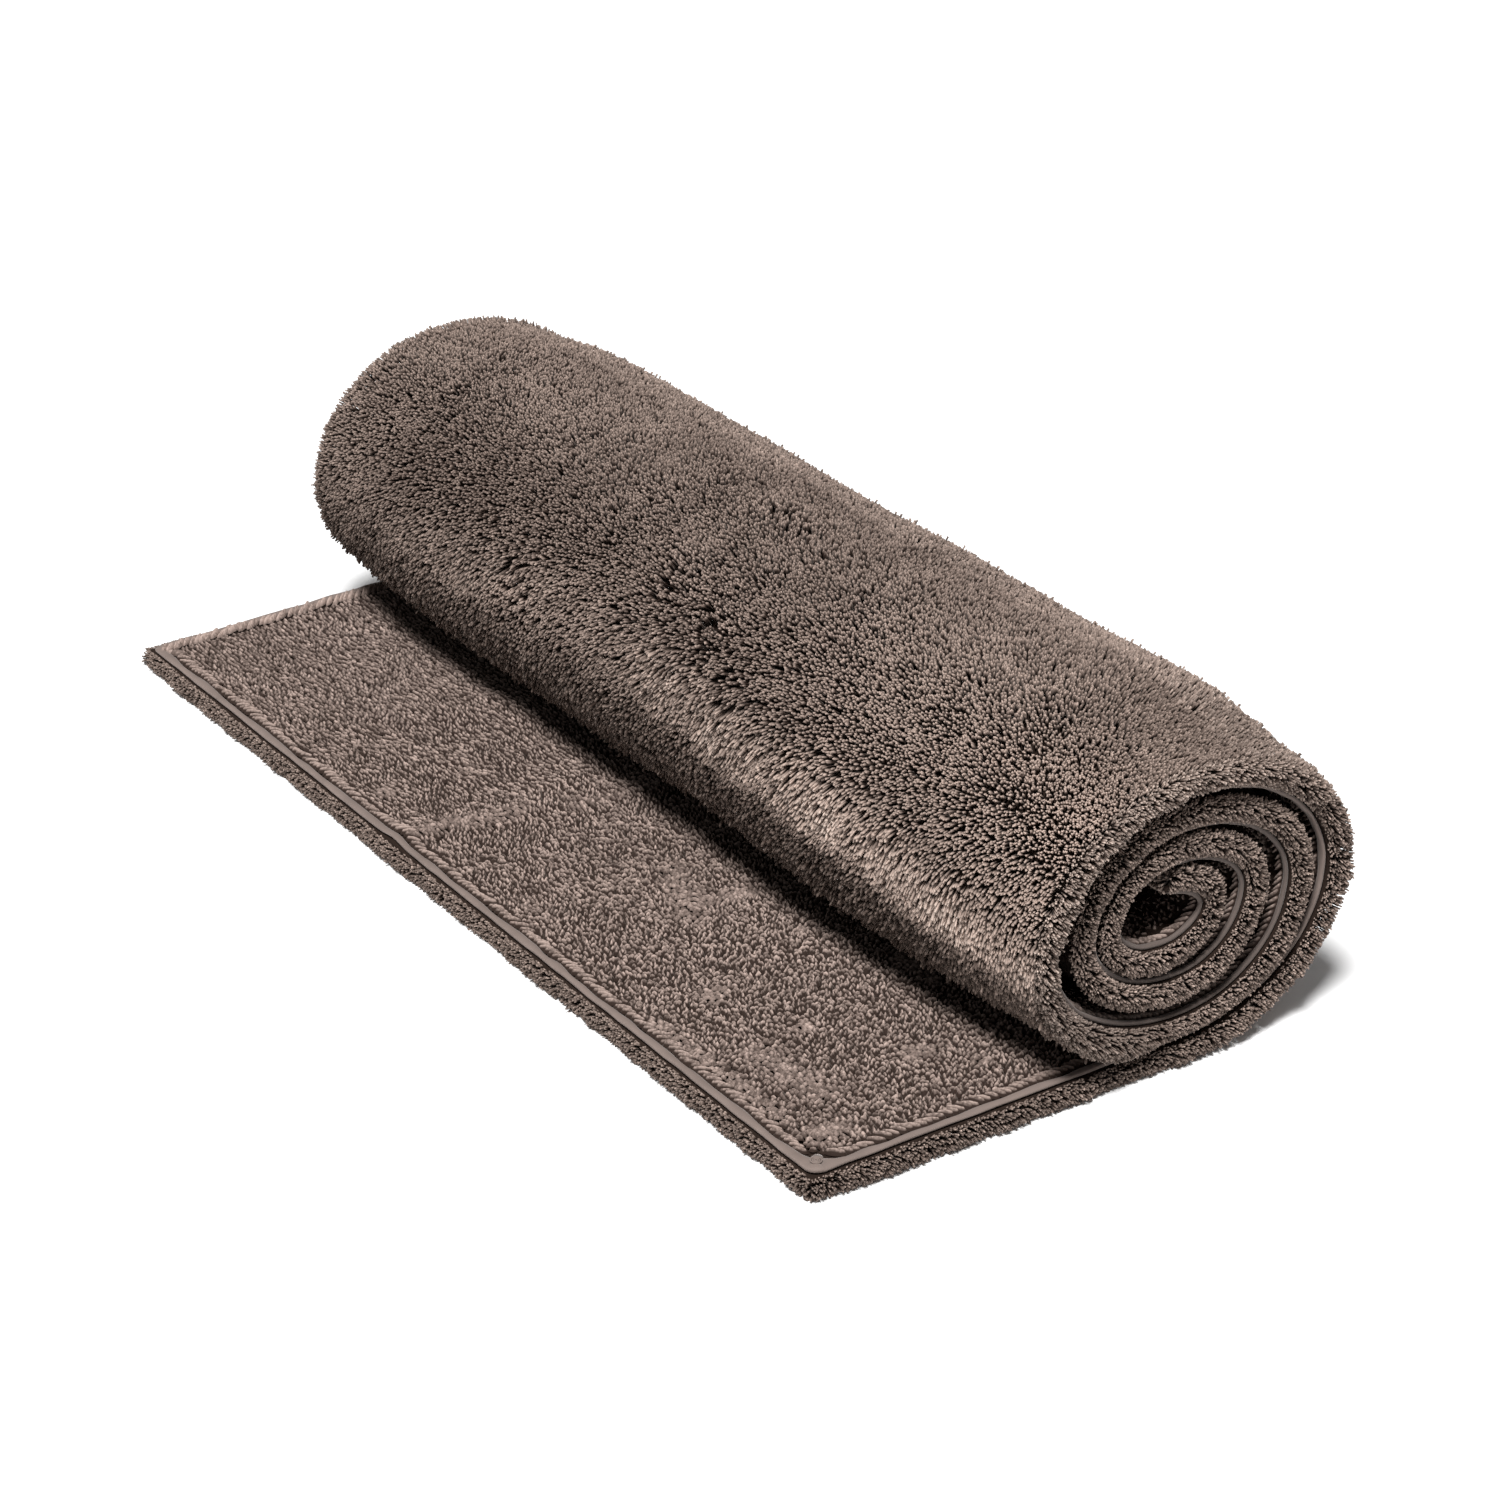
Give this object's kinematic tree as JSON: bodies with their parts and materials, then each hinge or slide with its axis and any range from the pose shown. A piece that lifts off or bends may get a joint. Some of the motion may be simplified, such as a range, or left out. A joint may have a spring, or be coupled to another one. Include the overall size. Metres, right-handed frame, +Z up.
{
  "type": "rolled bath mat",
  "caption": "Long-pile cotton bath mat, rolled up with its plush side out and its free end lying flat as a flap, looped side up, with a narrow binding round its edges.",
  "frame": {"origin": "middle of the underside, on the floor that the mat lies on", "axes": "+Z up, Y along the roll, and the flap, which is the mat's free end, lies towards -X"},
  "size_m": [0.3388, 0.72, 0.1843],
  "materials": {
    "pile_cotton": "matte taupe cotton: long cut plush on one side, short dense loops on the other",
    "binding_tape": "smooth matte cotton tape, a shade lighter than the pile"
  },
  "bodies": {
    "root": {"mat": "pile_cotton", "binding": "binding_tape"}
  },
  "joints": []
}
